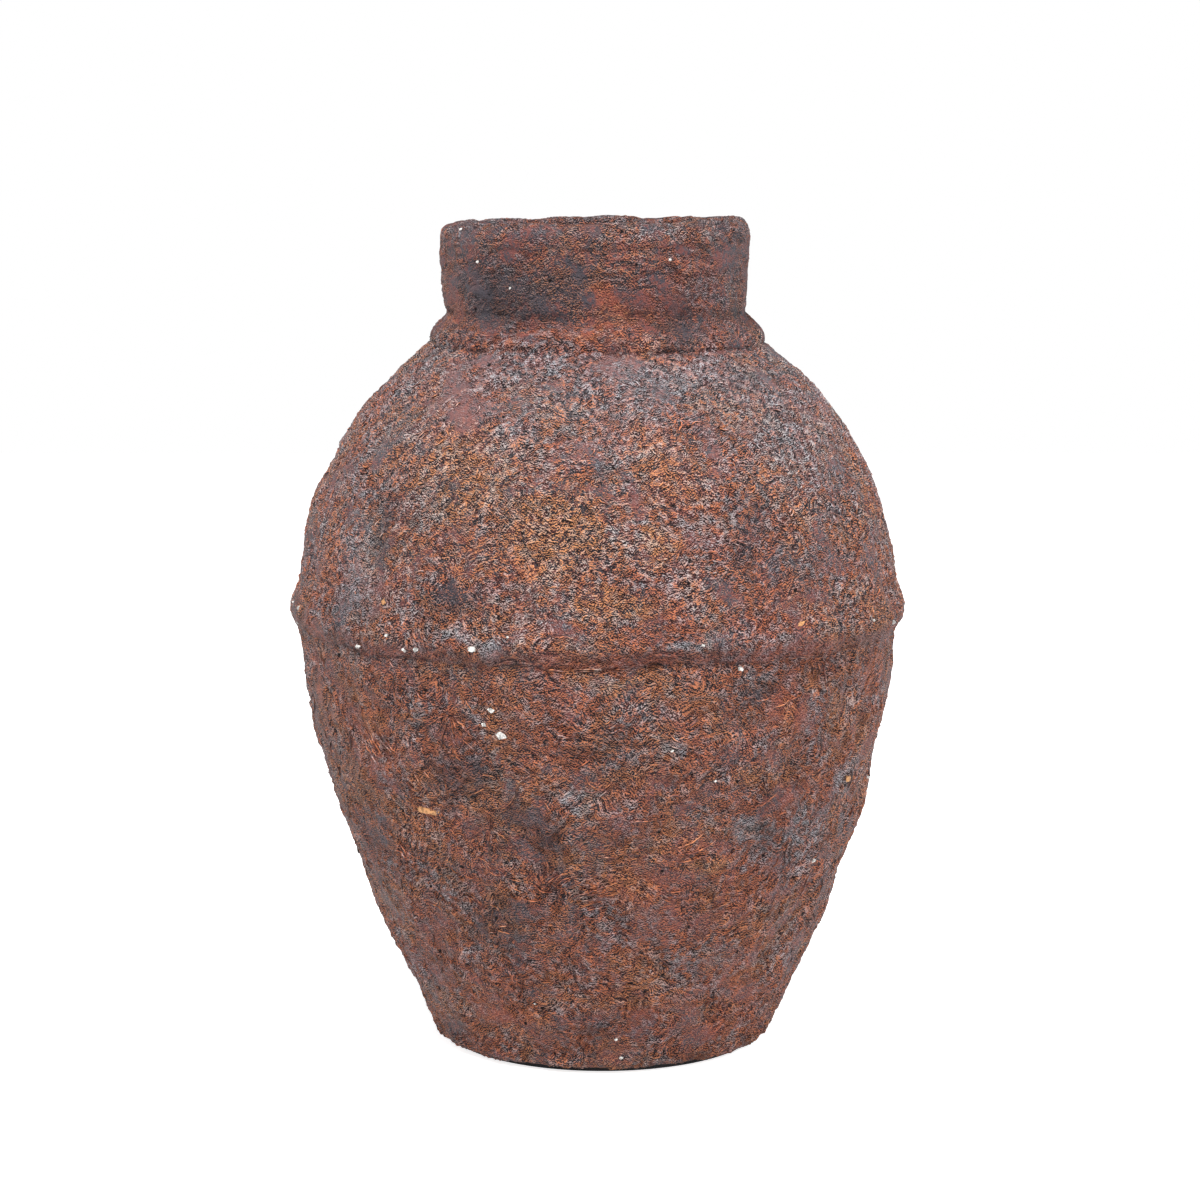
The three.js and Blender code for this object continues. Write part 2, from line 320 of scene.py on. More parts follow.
class Wiring:
    """Adds nodes to a shader tree or a geometry tree, and wires them as they are added."""

    def __init__(self, tree):
        self.tree = tree

    def add(self, kind, *inputs, **settings):
        node = self.tree.nodes.new(kind)
        for name, value in settings.items():
            setattr(node, name, value)
        for place, value in enumerate(inputs):
            if value is not None:
                self.feed(node.inputs[place], value)
        return node

    def feed(self, socket, value):
        if isinstance(value, bpy.types.NodeSocket):
            self.tree.links.new(value, socket)
        elif isinstance(value, (tuple, Color, Vector)) and len(value) < len(socket.default_value):
            socket.default_value = (*value, 1.0)
        else:
            socket.default_value = value

    def math(self, operation, *values, clamp=False):
        return self.add("ShaderNodeMath", *values, operation=operation, use_clamp=clamp).outputs[0]

    def plus(self, a, b, clamp=False):
        return self.math("ADD", a, b, clamp=clamp)

    def minus(self, a, b):
        return self.math("SUBTRACT", a, b)

    def times(self, a, b):
        return self.math("MULTIPLY", a, b)

    def times_plus(self, a, b, c):
        return self.math("MULTIPLY_ADD", a, b, c)

    def highest(self, a, b):
        return self.math("MAXIMUM", a, b)

    def vector(self, operation, *values):
        node = self.add("ShaderNodeVectorMath", *values, operation=operation)
        return node.outputs["Value" if operation in {"LENGTH", "DOT_PRODUCT"} else "Vector"]

    def scaled(self, vector, factor):
        node = self.add("ShaderNodeVectorMath", vector, operation="SCALE")
        self.feed(node.inputs["Scale"], factor)
        return node.outputs[0]

    def noise(self, place, size, detail=2.0, roughness=0.5, colour=False):
        """Noise between 0 and 1 whose features are about size across, or three of them at once."""
        node = self.add("ShaderNodeTexNoise")
        wishes = {"Vector": place, "Scale": 1 / size, "Detail": detail, "Roughness": roughness}
        for name, value in wishes.items():
            self.feed(node.inputs[name], value)
        return node.outputs[1 if colour else 0]

    def cells(self, place, size):
        """The outputs of a cell pattern: Distance, Color and Position."""
        node = self.add("ShaderNodeTexVoronoi")
        self.feed(node.inputs["Vector"], place)
        self.feed(node.inputs["Scale"], 1 / size)
        return node.outputs

    def ramp(self, value, low, high, start=0.0, end=1.0):
        """A smooth step from start, at low, to end, at high."""
        node = self.add("ShaderNodeMapRange", value, low, high, start, end, interpolation_type="SMOOTHSTEP")
        return node.outputs[0]

    def window(self, value, low, high, fall, end):
        """A smooth rise from low to high, and a fall from fall to end."""
        return self.times(self.ramp(value, low, high), self.ramp(value, fall, end, 1.0, 0.0))

    def mix(self, factor, a, b):
        node = self.add("ShaderNodeMix", data_type="RGBA")
        self.feed(node.inputs[0], factor)
        self.feed(node.inputs[6], a)
        self.feed(node.inputs[7], b)
        return node.outputs[2]

    def swirled(self, place, size, reach):
        """The place moved about by a slow noise, so that what is read there swirls."""
        slow = self.noise(place, size, detail=1.0, colour=True)
        centred = self.vector("SUBTRACT", slow, (0.5, 0.5, 0.5))
        return self.vector("ADD", place, self.scaled(centred, 2 * reach))

    def parts(self, vector):
        return self.add("ShaderNodeSeparateXYZ", vector).outputs

    def joined(self, x, y, z):
        return self.add("ShaderNodeCombineXYZ", x, y, z).outputs[0]

    def between(self, factor, a, b):
        """The number a where factor is 0, b where it is 1."""
        return self.times_plus(factor, self.minus(b, a), a)


GEOMETRY = [("Geometry", "Geometry")]


def new_group(name, kind, inputs, outputs):
    """A node group with its sockets, and what is needed to wire it."""
    tree = bpy.data.node_groups.new(name, kind)
    for way, sockets in (("INPUT", inputs), ("OUTPUT", outputs)):
        for socket, what in sockets:
            tree.interface.new_socket(socket, in_out=way, socket_type="NodeSocket" + what)
    given = tree.nodes.new("NodeGroupInput").outputs
    return tree, Wiring(tree), given, tree.nodes.new("NodeGroupOutput").inputs


def placed(w, group, **values):
    """Puts a shader node group in a material with its inputs fed, and gives its outputs."""
    node = w.add("ShaderNodeGroup", node_tree=group)
    for name, value in values.items():
        w.feed(node.inputs[name], value)
    return node.outputs


def surface(w, shader, colour, roughness, height, depth, gloss=0.5):
    """Gives a material its colour, roughness and gloss, and fine relief from a pattern of heights."""
    w.feed(shader.inputs["Base Color"], colour)
    w.feed(shader.inputs["Roughness"], roughness)
    w.feed(shader.inputs["Specular IOR Level"], gloss)
    bump = w.add("ShaderNodeBump")
    w.feed(bump.inputs["Distance"], depth)
    w.feed(bump.inputs["Height"], height)
    w.feed(shader.inputs["Normal"], bump.outputs[0])


def daubs(w, place, upward, size, shift, level):
    """Parts the surface into daubs, each brushed its own way, or level and longer where level is 1.

    Gives how far along and across its daub's strokes a place lies, a random number for each daub, and
    how much of a step up the surface goes along and across them."""
    moved = w.swirled(w.vector("ADD", place, shift), 0.9 * size, 0.4 * size)
    cell = w.cells(moved, size)
    turn, bend, kind = w.parts(cell["Color"])
    offset = w.vector("SUBTRACT", moved, cell["Position"])
    x, y, _ = w.parts(place)
    around = w.vector("NORMALIZE", w.joined(w.times(y, -1.0), x, 0.0))
    side = w.vector("DOT_PRODUCT", offset, around)
    up = w.vector("DOT_PRODUCT", offset, upward)
    angle = w.times(w.minus(turn, 0.5), w.between(level, 2 * math.pi, 0.25 * math.pi))
    cosine, sine = w.math("COSINE", angle), w.math("SINE", angle)
    along = w.times_plus(side, cosine, w.times(up, sine))
    along = w.times(along, w.between(level, 1.0, 0.55))
    across = w.minus(w.times(up, cosine), w.times(side, sine))
    curve = w.times_plus(bend, 2.4 / size, -1.2 / size)
    across = w.plus(across, w.times(w.times(along, along), curve))
    reach = w.math("SQRT", w.times_plus(side, side, w.times(up, up)))
    spread = w.times(w.math("ARCTAN2", up, side), 0.45 * size)
    fan = w.math("GREATER_THAN", w.minus(kind, level), 0.90)
    return w.between(fan, along, reach), w.between(fan, across, spread), kind, sine, cosine


def stretched(w, daub, width, slimness, detail=1.0, step=0.0):
    """A noise whose spots are drawn out along each daub's strokes, read a step up the surface.

    Slimness is a spot's width over its length."""
    along, across, kind, sine, cosine = daub
    if step:
        along = w.times_plus(sine, step, along)
        across = w.times_plus(cosine, step, across)
    place = w.joined(w.times(along, slimness), across, kind)
    return w.noise(place, width, detail=detail)


def underside(w, place):
    """How far a place is on the lower side of the girdle band: the coat there is wiped smoother, redder,
    and darker as painted shade.
    """
    height = w.times_plus(w.noise(place, 22 * MM), 4 * MM, w.parts(place)[2])
    rise, fall = (0.5 * MM, 2.5 * MM), (7 * MM, 11 * MM)
    return w.window(height, *(BAND_LOW + above for above in rise + fall))


# Sizes of what the coat is made of
DAB_SIZE = 21 * MM
WIDE_DAUB = 40 * MM
SMALL_DAUB = 24 * MM
STROKE_WIDTH = 1.8 * MM
GRIT_SIZE = 2.4 * MM
GRAIN_SIZE = 0.62 * MM
DASH_WIDTH = 0.52 * MM
GRAIN_STEP = 0.42 * MM  # how far apart the grain's height is read to paint light on its upper side and shade on its lower side
PIT_SPACING = 7 * MM
SPECK_SIZE = 0.5 * MM
UPPER_WALL = (NECK_SEAT - 61 * MM, NECK_SEAT - 11 * MM)  # where the shoulder's grain grows fainter
FIELDS = ("Dabs", "Coarse", "Fine", "Facing", "Pits", "Speck", "Brushed", "Smooth")


def brushed_share(w, height, swirl):
    """How far a place is brushed and not gritty, and how far it is below the girdle band."""
    below = w.ramp(height, BAND_LOW - 10 * MM, BAND_LOW + 30 * MM, 0.95, 0.30)
    neck = w.ramp(height, NECK_SEAT, NECK_SEAT + 10 * MM, 0.0, 0.5)
    patchy = w.ramp(w.noise(swirl, 33 * MM, detail=1.5), 0.38, 0.62, -0.4, 0.4)
    return w.plus(w.plus(below, neck), patchy, clamp=True), below


def wiped_share(w, place, swirl, brushed):
    """How far the coat was wiped flat at a place."""
    smooth = w.ramp(w.noise(w.vector("ADD", swirl, (0.9, 0.2, 0.6)), 13 * MM, detail=1.5), 0.48, 0.62)
    smooth = w.times(smooth, w.ramp(brushed, 0.2, 0.7, 0.25, 1.0))
    return w.highest(smooth, w.times(underside(w, place), 0.5))


def pits(w, place):
    """Round pits, in some of the cells of a pattern."""
    hole = w.cells(w.swirled(place, 5 * MM, 1.5 * MM), PIT_SPACING)
    size = w.times_plus(w.parts(hole["Color"])[1], 0.13, 0.06)
    depth = w.ramp(w.math("DIVIDE", hole["Distance"], size), 0.6, 1.15, 1.0, 0.0)
    return w.times(depth, w.math("GREATER_THAN", w.parts(hole["Color"])[0], 0.72))


def coat_fields(kind):
    """How the coat lies at a place: the same fields raise the geometry and colour the surface.

    Dabs is in metres. Coarse and fine are what the brush or the grit left, about 0.5, and painted light is
    how far the finest grain faces up: painted lighter on its upper side and darker on its lower side.
    Brushed and smooth are shares: of brush marks, and wiped flat."""
    name = "coat fields " + kind
    known = bpy.data.node_groups.get(name)
    if known:
        return known
    outputs = [(field, "Float") for field in FIELDS]
    tree, w, given, result = new_group(name, kind, [("Place", "Vector"), ("Upward", "Vector")], outputs)
    place, upward = given[0], given[1]
    height = w.parts(place)[2]
    swirl = w.swirled(place, 40 * MM, 18 * MM)
    on_neck = w.ramp(height, NECK_SEAT + 2 * MM, NECK_SEAT + 12 * MM)
    brushed, below = brushed_share(w, height, swirl)
    smooth = wiped_share(w, place, swirl, brushed)
    w.feed(result["Brushed"], brushed)
    w.feed(result["Smooth"], smooth)
    w.feed(result["Pits"], pits(w, place))
    w.feed(result["Speck"], w.noise(place, SPECK_SIZE, detail=1.0))

    dabs = w.minus(w.ramp(w.noise(swirl, DAB_SIZE), 0.30, 0.70), 0.5)
    w.feed(result["Dabs"], w.times(dabs, coat().dab_height))

    level = w.ramp(height, NECK_SEAT - 6 * MM, NECK_SEAT + 8 * MM)
    wide = daubs(w, place, upward, WIDE_DAUB, (0.31, 0.12, 0.05), level)
    small = daubs(w, place, upward, SMALL_DAUB, (0.07, 0.41, 0.23), level)
    which = w.math("GREATER_THAN", w.noise(swirl, 17 * MM, detail=1.0), 0.53)
    daub = [w.between(which, a, b) for a, b in zip(wide, small)]

    grit = w.ramp(w.noise(place, GRIT_SIZE, detail=1.5), 0.32, 0.68)
    slimness = w.between(on_neck, 0.28, 0.14)
    strokes = w.ramp(stretched(w, daub, STROKE_WIDTH, slimness, detail=1.5), 0.32, 0.68)
    rough = w.times(w.times_plus(smooth, -0.75, 1.0), w.between(on_neck, 1.0, 0.65))
    w.feed(result["Coarse"], w.between(rough, 0.5, w.between(brushed, grit, strokes)))

    grain_place = w.swirled(place, 3 * MM, 0.8 * MM)
    share_of_dashes = w.times(w.between(brushed, 0.28, 0.42), w.between(on_neck, 1.0, 0.45))

    def grain(step):
        """The finest grain a step up the surface: round grains and dashes drawn out by the brush."""
        grains = w.noise(w.vector("ADD", grain_place, w.scaled(upward, step)), GRAIN_SIZE, detail=1.0)
        dashes = stretched(w, daub, DASH_WIDTH, 0.36, detail=1.0, step=step)
        return w.between(share_of_dashes, grains, dashes)

    here = grain(0.0)
    # Painted light and shade: the grain lighter where it faces up and darker where it faces down.
    facing = w.minus(here, grain(GRAIN_STEP))
    lively = w.noise(w.vector("ADD", place, (0.2, 0.7, 0.4)), 8 * MM, detail=2.0)
    contrast = w.times(w.ramp(lively, 0.38, 0.64, 4.6, 9.6), w.times_plus(smooth, -0.50, 1.0))
    contrast = w.times(contrast, w.ramp(height, *UPPER_WALL, 1.0, 0.8))
    contrast = w.times(contrast, w.between(below, 0.70, 1.62))
    w.feed(result["Fine"], w.times_plus(w.minus(here, 0.5), contrast, 0.5))
    w.feed(result["Facing"], w.times_plus(facing, contrast, 0.5))
    return tree


# Waves of lumps that slant up the walls and cross, as in the solids: lobes around, rate and phase
LUMP_WAVES = ((9, 0.9, 0.4), (-7, 1.15, 2.1), (12, -0.7, 4.0))


def lumps(w, x, y, z):
    """How far the walls stand out at a place, dying away where the foot, band and ring lie on them."""
    sizes = form()
    angle = w.math("ARCTAN2", x, w.times(y, -1.0))
    total = 0.0
    for lobes, rate, phase in LUMP_WAVES:
        turn = w.times_plus(z, 2 * math.pi * rate / sizes.lump_pitch, phase)
        total = w.plus(total, w.math("COSINE", w.times_plus(angle, lobes, turn)))
    fade = 0.0
    for low, high in ((PAD_TOP + sizes.foot_rise, BAND_LOW), (BAND_TOP, RING_LOW)):
        rising = w.ramp(z, low, low + sizes.lump_fade)
        falling = w.ramp(z, high, high - sizes.lump_fade)
        fade = w.highest(fade, w.math("MINIMUM", rising, falling))
    return w.times(w.times(total, sizes.lump_rise / len(LUMP_WAVES)), fade)


# Marks on the coat: angle from the front to the right in degrees, height, half
# width and half height in millimetres, and strength
STAINS = {
    "rust": (
        (-50, 160, 22, 26, 0.8), (5, 100, 26, 18, 0.7), (15, 185, 22, 10, 0.6), (38, 180, 20, 16, 0.7),
        (38, 50, 20, 16, 0.7), (-37, 132, 8, 4, 0.9), (-30, 30, 26, 9, 0.7), (10, 35, 20, 9, 0.5),
        (40, 20, 20, 10, 0.6), (5, 364, 8, 9, 0.9), (-14, 345, 34, 4, 0.8), (30, 100, 26, 30, 0.4),
        (55, 165, 26, 30, 0.5), (0, 205, 44, 3, 0.9), (46, 343, 7, 4, 0.9), (-64, 210, 16, 6, 0.9),
        (-62, 240, 14, 30, 0.4), (25, 360, 30, 12, 0.4), (0, 348, 18, 3, 0.8), (-68, 185, 8, 22, 0.8),
        (62, 186, 9, 22, 0.7), (42, 130, 8, 14, 0.8),
    ),
    "gold": (
        (-28, 285, 40, 28, 0.8), (-8, 262, 34, 26, 0.9), (12, 258, 14, 12, 1.0), (14, 290, 26, 22, 0.6),
        (-38, 250, 20, 16, 0.5), (2, 232, 26, 9, 0.8), (10, 192, 22, 9, 0.5), (-50, 300, 20, 20, 0.5),
        (-20, 225, 26, 7, 0.5), (8, 120, 16, 12, 0.4), (-8, 150, 18, 12, 0.3), (40, 285, 26, 16, 0.3),
        (3, 361, 9, 13, 0.8), (-2, 345, 16, 3, 0.7), (30, 150, 14, 9, 0.6), (-8, 395, 18, 4, 0.6),
        (22, 108, 16, 7, 0.8), (3, 196, 12, 5, 0.8),
    ),
    "dark": (
        (-28, 150, 20, 16, 0.8), (-15, 130, 16, 16, 0.7), (-25, 75, 22, 18, 0.6), (30, 190, 16, 10, 0.7),
        (35, 125, 16, 16, 0.6), (30, 262, 14, 24, 0.6), (38, 245, 18, 12, 0.5), (-27, 232, 22, 9, 0.7),
        (-45, 262, 12, 22, 0.8), (-38, 366, 30, 18, 0.9), (-12, 372, 18, 14, 0.5), (32, 346, 16, 6, 0.8),
        (-50, 225, 18, 16, 0.5), (0, 165, 20, 12, 0.4), (43, 324, 15, 9, 0.7), (-60, 100, 16, 30, 0.4),
    ),
    "pale": (
        (-24, 217, 22, 5, 0.9), (15, 215, 20, 5, 0.8), (-35, 270, 16, 10, 0.6), (3, 262, 12, 6, 0.6),
        (12, 167, 12, 8, 0.8), (30, 128, 12, 9, 0.8), (-4, 143, 14, 8, 0.7), (60, 140, 14, 12, 0.9),
        (-50, 235, 20, 34, 0.7), (25, 330, 50, 9, 0.6), (-25, 328, 40, 9, 0.4), (50, 300, 40, 34, 0.5),
        (48, 225, 30, 16, 0.4), (20, 60, 14, 12, 0.5), (48, 112, 22, 28, 0.6), (52, 62, 18, 24, 0.5),
        (45, 365, 26, 14, 0.5),
    ),
}


def stain_masks(w, place):
    """How strong each kind of stain is at a place, in the order of the STAINS table."""
    moved = w.swirled(w.swirled(place, 22 * MM, 13 * MM), 7 * MM, 4 * MM)
    masks = []
    for marks in STAINS.values():
        total = 0.0
        for angle, height, wide, tall, strength in marks:
            turn = math.radians(angle)
            radius = surface_radius(height * MM)
            centre = (radius * math.sin(turn), -radius * math.cos(turn), height * MM)
            away = w.vector("SUBTRACT", moved, centre)
            away = w.vector("MULTIPLY", away, (1 / (wide * MM), 1 / (wide * MM), 1 / (tall * MM)))
            spot = w.ramp(w.vector("LENGTH", away), 0.4, 1.25, strength, 0.0)
            total = w.highest(total, spot)
        masks.append(total)
    return masks


def stored(w, shape, kind, name, value):
    """The shape with a value kept on its points under a name."""
    kept = w.add("GeometryNodeStoreNamedAttribute", data_type=kind, domain="POINT")
    w.feed(kept.inputs["Geometry"], shape)
    w.feed(kept.inputs["Name"], name)
    w.feed(kept.inputs["Value"], value)
    return kept.outputs[0]


def stain_map():
    """Keeps how stained each point of a piece is."""
    tree, w, given, result = new_group("stain map", "GeometryNodeTree", GEOMETRY, GEOMETRY)
    masks = stain_masks(w, w.add("GeometryNodeInputPosition").outputs[0])
    colour = w.add("FunctionNodeCombineColor", *masks).outputs[0]
    w.feed(result[0], stored(w, given[0], "FLOAT_COLOR", "stains", colour))
    return tree


STILL_FOOT = (120 * MM, 190 * MM)  # the seams wander above the first height, in full from the second
LEANING_WALL = (50 * MM, 200 * MM)  # where the body leans; the neck leans the rest of the way


def clay_relief():
    """Raises the coat's relief on a piece, keeps where each point was, and leans the whole."""
    tree, w, given, result = new_group("clay relief", "GeometryNodeTree", GEOMETRY, GEOMETRY)
    looks = coat()
    place = w.add("GeometryNodeInputPosition").outputs[0]
    normal = w.add("GeometryNodeInputNormal").outputs[0]
    x, y, z = w.parts(place)
    around = w.vector("NORMALIZE", w.joined(w.times(y, -1.0), x, 0.0))
    upward = w.vector("CROSS_PRODUCT", normal, around)
    shape = stored(w, given[0], "FLOAT_VECTOR", "rest", place)
    shape = stored(w, shape, "FLOAT_VECTOR", "upward", upward)

    field = w.add("GeometryNodeGroup", place, upward, node_tree=coat_fields("GeometryNodeTree")).outputs
    rise = w.times_plus(w.minus(field["Coarse"], 0.5), looks.coarse_height, field["Dabs"])
    rise = w.times_plus(field["Pits"], -looks.pit_depth, rise)
    coated = w.add("GeometryNodeInputNamedAttribute", data_type="FLOAT")
    w.feed(coated.inputs["Name"], "coated")
    rise = w.times(rise, coated.outputs[0])
    outward = w.vector("NORMALIZE", w.joined(x, y, 0.0))
    lump = w.times(lumps(w, x, y, z), coated.outputs[0])
    moved = w.vector("ADD", w.scaled(normal, rise), w.scaled(outward, lump))

    wander = w.minus(w.noise(place, 32 * MM, detail=1.0), 0.5)
    wander = w.times(w.times(wander, form().wander), w.ramp(z, *STILL_FOOT))
    at_rim = w.ramp(z, NECK_SEAT + 10 * MM, NECK_TOP)
    wander = w.times(wander, w.between(at_rim, 1.0, 0.25))
    wander = w.times_plus(w.times(x, at_rim), 0.5 * form().rim_tilt / RIM_RADIUS, wander)
    lean = w.times(w.ramp(z, *LEANING_WALL), -2 / 3 * form().lean)
    lean = w.times_plus(w.ramp(z, NECK_SEAT, NECK_SEAT + 25 * MM), -1 / 3 * form().lean, lean)
    moved = w.vector("ADD", moved, w.joined(lean, 0.0, wander))
    shift = w.add("GeometryNodeSetPosition")
    w.feed(shift.inputs["Geometry"], shape)
    w.feed(shift.inputs["Offset"], moved)
    w.feed(result[0], shift.outputs[0])
    return tree


def new_material(name):
    material = bpy.data.materials.new(name)
    material.use_nodes = True
    w = Wiring(material.node_tree)
    shader = material.node_tree.nodes["Principled BSDF"]
    return material, w, shader


def rest_place(w):
    """Where a place was before the relief was raised."""
    return w.add("ShaderNodeAttribute", attribute_name="rest").outputs["Vector"]


def object_place(w):
    """Where a place is on a finished piece."""
    return w.add("ShaderNodeTexCoord").outputs["Object"]


# Painted shade in the joints where two coils meet: height, half height in millimetres, and strength
CREASE_SHADE = ((204.6, 1.6, 0.4), (340.5, 1.6, 0.55), (356, 4.0, 0.5), (388, 1.6, 0.35))


def crease_shade(w, place):
    """How dark the painted shade in the joints between the coils is."""
    wobble = w.times_plus(w.noise(place, 22 * MM, detail=2.0), 5 * MM, -2.5 * MM)
    height = w.plus(w.parts(place)[2], wobble)
    broken = w.ramp(w.noise(place, 9 * MM, detail=2.0), 0.42, 0.60, 0.1, 1.0)
    total = 0.0
    for middle, half, strength in CREASE_SHADE:
        away = w.math("ABSOLUTE", w.minus(height, middle * MM))
        total = w.highest(total, w.ramp(away, 0.2 * half * MM, half * MM, strength, 0.0))
    return w.times(total, broken)


def patches(w, place, shift, size, low, high):
    """Soft patches with frayed edges, between 0 and 1."""
    moved = w.swirled(w.vector("ADD", place, shift), size, 0.5 * size)
    return w.ramp(w.noise(moved, size, detail=3.0, roughness=0.6), low, high)


def stains(w):
    """The strengths of the stains kept on the mesh: rust, gold, dark and pale."""
    kept = w.add("ShaderNodeAttribute", attribute_name="stains")
    return (*w.add("ShaderNodeSeparateColor", kept.outputs["Color"]).outputs, kept.outputs["Alpha"])


def dry_brush():
    """What the dry brush leaves: orange or gold in patches, with a pale grey over it, partly a pale film
    and partly painted sheen.
    """
    known = bpy.data.node_groups.get("dry brush")
    if known:
        return known
    inputs = (("Place", "Vector"), ("Gold", "Float"), ("Pale", "Float"), ("Extra", "Float"))
    tree, w, given, result = new_group("dry brush", "ShaderNodeTree", inputs, (("Colour", "Color"),))
    looks = coat()
    place = given["Place"]
    height = w.parts(place)[2]
    golden = w.highest(w.times(patches(w, place, (7, 5, 1), 26 * MM, 0.42, 0.66), 0.55), given["Gold"])
    bloom_and_sheen = w.highest(w.times(patches(w, place, (1, 8, 4), 24 * MM, 0.42, 0.66), 0.5), given["Pale"])
    # More pale grey on the upper shoulder and on the lip's top: painted sheen where they face up to the
    # light.
    shoulder = (BAND_LOW - 10 * MM, NECK_SEAT - 20 * MM, NECK_SEAT - 2 * MM, NECK_SEAT + 8 * MM)
    upper = w.window(height, *shoulder)
    upper = w.highest(upper, w.ramp(height, NECK_TOP - 2 * MM, NECK_TOP + 7 * MM))
    bloom_and_sheen = w.times_plus(upper, 0.30, bloom_and_sheen)
    bloom_and_sheen = w.times_plus(golden, -0.15, bloom_and_sheen)
    tint = w.noise(w.vector("ADD", place, (2, 2, 6)), 3.6 * MM)
    bloom_and_sheen = w.plus(bloom_and_sheen, w.ramp(tint, 0.64, 0.36, -0.38, 0.52))
    bloom_and_sheen = w.plus(bloom_and_sheen, given["Extra"], clamp=True)
    dry = w.mix(golden, looks.ember, looks.ochre)
    pale = w.mix(w.times(golden, 0.8), looks.dust_and_sheen, looks.cream_and_sheen)
    w.feed(result[0], w.mix(bloom_and_sheen, dry, pale))
    return tree


def coat_ground(w, place, rusty, dark):
    """The coat under the dry brush: charcoal and umber, rusty in patches and grey on the shoulder."""
    looks = coat()
    height = w.parts(place)[2]
    hue = w.noise(w.vector("ADD", place, (5, 3, 1)), 2.4 * MM, detail=3.0, roughness=0.7)
    red = w.minus(patches(w, place, (0, 0, 0), 45 * MM, 0.36, 0.62), dark)
    red = w.times_plus(on_lip(w, height), -0.5, red)
    red = w.plus(red, w.ramp(hue, 0.38, 0.62, -0.75, 0.75), clamp=True)
    tone = w.mix(red, looks.charcoal, looks.umber)
    stained = w.times(patches(w, place, (3, 1, 2), 34 * MM, 0.55, 0.74), 0.5)
    stained = w.highest(stained, rusty)
    stained = w.highest(stained, w.times(underside(w, place), 0.3))
    tone = w.mix(w.times(stained, 0.6), tone, looks.rust)
    grey = w.ramp(height, NECK_SEAT - 71 * MM, NECK_SEAT - 21 * MM, 0.0, 0.08)
    grey = w.times(grey, w.ramp(height, NECK_SEAT - 4 * MM, NECK_SEAT, 1.0, 0.0))
    return w.mix(grey, tone, looks.dust_and_sheen)


def on_lip(w, height):
    """How far a place is on the rolled rim."""
    return w.ramp(height, NECK_TOP - 3 * MM, NECK_TOP + 5 * MM)


def on_collar(w, height):
    """How far a place is on the neck, between its ring and its lip."""
    return w.window(height, NECK_SEAT + 4 * MM, NECK_SEAT + 14 * MM, NECK_TOP - 3 * MM, NECK_TOP + 5 * MM)


def brush_cover(w, place, dark, smooth):
    """How thick the dry brush lies on what stands up."""
    height = w.parts(place)[2]
    cover = w.ramp(height, BAND_LOW - 30 * MM, BAND_TOP + 10 * MM, 0.88, 0.90)
    cover = w.times(cover, w.ramp(height, NECK_SEAT - 51 * MM, NECK_SEAT - 11 * MM, 1.0, 0.85))
    thinner = (
        (on_collar(w, height), 0.25),
        (on_lip(w, height), 0.1),
        # Thinner under the girdle band: painted shade there.
        (underside(w, place), 0.4),
        (dark, 0.5),
        (smooth, 0.4),
    )
    for share_of, less in thinner:
        cover = w.times(cover, w.times_plus(share_of, -less, 1.0))
    return cover


def coat_material():
    """Coarse slip on a dark and red ground, dry brushed orange and gold, with painted shade in its hollows,
    pits and joints.
    """
    known = bpy.data.materials.get("brushed coat")
    if known:
        return known
    material, w, shader = new_material("brushed coat")
    looks = coat()
    place = rest_place(w)
    upward = w.add("ShaderNodeAttribute", attribute_name="upward").outputs["Vector"]
    field = placed(w, coat_fields("ShaderNodeTree"), Place=place, Upward=upward)
    rust, gold, dark, pale = stains(w)
    ragged = w.noise(place, 4 * MM, detail=3.0, roughness=0.65)

    def worn(mask, low, high):
        """A mask whose edge frays into the grain."""
        return w.ramp(w.times_plus(w.minus(ragged, 0.5), 1.2, mask), low, high)

    # The relief takes in the painted light, so the dry brush below falls partly on the grain's upper sides
    # as a painted highlight, and the painted shade on its lower sides.
    relief = w.times_plus(field["Coarse"], 0.42, w.times(field["Fine"], 0.25))
    relief = w.times_plus(field["Facing"], 0.33, relief)
    raised = w.ramp(w.times_plus(on_collar(w, w.parts(place)[2]), -0.05, relief), 0.55, 0.76)
    extra = w.ramp(relief, 0.60, 0.80, 0.35, -0.15)
    dry = placed(w, dry_brush(), Place=place, Gold=gold, Pale=pale, Extra=extra)["Colour"]
    tone = coat_ground(w, place, worn(rust, 0.15, 1.0), dark)
    tone = w.mix(w.times(raised, brush_cover(w, place, dark, field["Smooth"])), tone, dry)
    tone = w.mix(w.times(worn(pale, 0.45, 1.1), 0.22), tone, looks.dust_and_sheen)
    tone = w.mix(w.times(worn(dark, 0.3, 1.1), 0.2), tone, looks.charcoal)

    # Painted shade in the grain's hollows and on its lower sides, in the joints between coils and in the
    # pits.
    hollow = w.times(w.ramp(relief, 0.47, 0.25), 0.92)
    hollow = w.highest(hollow, crease_shade(w, place))
    tone = w.mix(w.highest(hollow, field["Pits"]), tone, looks.painted_shade)
    inside = placed(w, clay_colour(), Place=place)["Colour"]
    tone = w.mix(bare_inside(w, place), tone, inside)
    roughness = w.times_plus(field["Speck"], 0.40, 0.35)
    level = w.times_plus(field["Speck"], 0.25, field["Fine"])
    level = w.times_plus(field["Pits"], -0.8, level)
    surface(w, shader, tone, roughness, level, looks.bump_depth, gloss=0.2)
    return material


